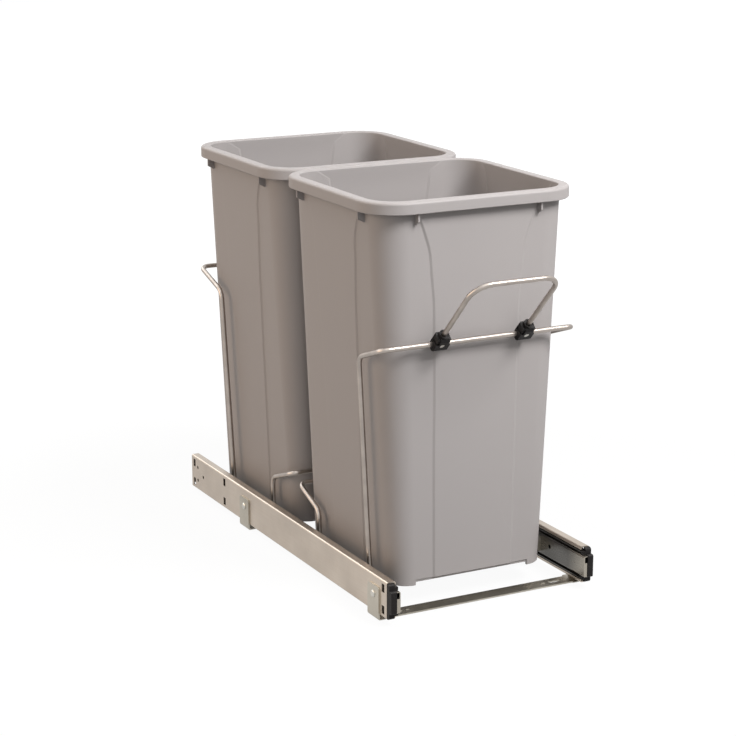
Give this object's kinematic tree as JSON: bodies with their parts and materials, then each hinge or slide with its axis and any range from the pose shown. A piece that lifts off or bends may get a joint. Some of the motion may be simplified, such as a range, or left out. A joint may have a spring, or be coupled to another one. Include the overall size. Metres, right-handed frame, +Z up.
{
  "type": "pull out trash cabinet",
  "caption": "Pull-out waste frame for a kitchen cabinet: nested ball-bearing side rails on cross straps, wire hoops, a tilting grab handle and lift-out tapered bins.",
  "frame": {"origin": "centre of the front cross strap's underside, on the cabinet floor, midway between its screw holes", "axes": "+X to the right seen from the front, +Y into the cabinet, +Z up; the carriage pulls out along -Y"},
  "size_m": [0.2786, 0.6136, 0.478],
  "materials": {
    "slide_steel": "zinc plated, satin",
    "strap_steel": "zinc plated, satin",
    "fastener_steel": "zinc plated",
    "cage_steel": "bright strip",
    "ball_steel": "polished",
    "black_plastic": "moulded black",
    "wire_nickel": "satin nickel",
    "bin_plastic": "fine moulded grain"
  },
  "bodies": {
    "base": {"left_outer_rail": "slide_steel", "right_outer_rail": "slide_steel", "front_strap": "strap_steel", "rear_strap": "strap_steel", "strap_rivets": "fastener_steel"},
    "left_middle": {"left_middle_rail": "slide_steel", "left_bumper": "black_plastic"},
    "right_middle": {"right_middle_rail": "slide_steel", "right_bumper": "black_plastic"},
    "left_outer_race": {"left_outer_cage": "cage_steel", "left_outer_balls": "ball_steel"},
    "right_outer_race": {"right_outer_cage": "cage_steel", "right_outer_balls": "ball_steel"},
    "left_inner_race": {"left_inner_cage": "cage_steel", "left_inner_balls": "ball_steel"},
    "right_inner_race": {"right_inner_cage": "cage_steel", "right_inner_balls": "ball_steel"},
    "carriage": {"left_inner_rail": "slide_steel", "right_inner_rail": "slide_steel", "front_tall_hoop": "wire_nickel", "front_low_hoop": "wire_nickel", "rear_low_hoop": "wire_nickel", "rear_tall_hoop": "wire_nickel", "leg_brackets": "wire_nickel", "bracket_rivets": "fastener_steel"},
    "handle": {"handle_wire": "wire_nickel", "left_clamp_block": "black_plastic", "right_clamp_block": "black_plastic", "left_clamp_jaw": "black_plastic", "right_clamp_jaw": "black_plastic", "clamp_screws": "fastener_steel", "clamp_nuts": "fastener_steel"},
    "front_bin": {"front_bin": "bin_plastic"},
    "rear_bin": {"rear_bin": "bin_plastic"}
  },
  "joints": [
    {"name": "pull_out", "type": "slide", "parent": "base", "child": "carriage", "axis": [0, -1, 0], "range_m": [0, 0.5588]},
    {"name": "left_middle_travel", "type": "slide", "parent": "base", "child": "left_middle", "axis": [0, -1, 0], "range_m": [0, 0.2794]},
    {"name": "left_outer_race_travel", "type": "slide", "parent": "base", "child": "left_outer_race", "axis": [0, -1, 0], "range_m": [0, 0.1397]},
    {"name": "left_inner_race_travel", "type": "slide", "parent": "base", "child": "left_inner_race", "axis": [0, -1, 0], "range_m": [0, 0.4191]},
    {"name": "right_middle_travel", "type": "slide", "parent": "base", "child": "right_middle", "axis": [0, -1, 0], "range_m": [0, 0.2794]},
    {"name": "right_outer_race_travel", "type": "slide", "parent": "base", "child": "right_outer_race", "axis": [0, -1, 0], "range_m": [0, 0.1397]},
    {"name": "right_inner_race_travel", "type": "slide", "parent": "base", "child": "right_inner_race", "axis": [0, -1, 0], "range_m": [0, 0.4191]},
    {"name": "handle_tilt", "type": "hinge", "parent": "carriage", "child": "handle", "pos_m": [0, -0.00092, 0.314], "axis": [1, 0, 0], "range_deg": [-43.6, 45.4]},
    {"name": "front_bin_lift", "type": "slide", "parent": "carriage", "child": "front_bin", "axis": [0, 0, 1], "range_m": [0, 0.5]},
    {"name": "rear_bin_lift", "type": "slide", "parent": "carriage", "child": "rear_bin", "axis": [0, 0, 1], "range_m": [0, 0.5]}
  ],
  "couplings": [
    {"joint": "left_middle_travel", "follows": "pull_out", "ratio": 0.5},
    {"joint": "left_outer_race_travel", "follows": "pull_out", "ratio": 0.25},
    {"joint": "left_inner_race_travel", "follows": "pull_out", "ratio": 0.75},
    {"joint": "right_middle_travel", "follows": "pull_out", "ratio": 0.5},
    {"joint": "right_outer_race_travel", "follows": "pull_out", "ratio": 0.25},
    {"joint": "right_inner_race_travel", "follows": "pull_out", "ratio": 0.75}
  ]
}
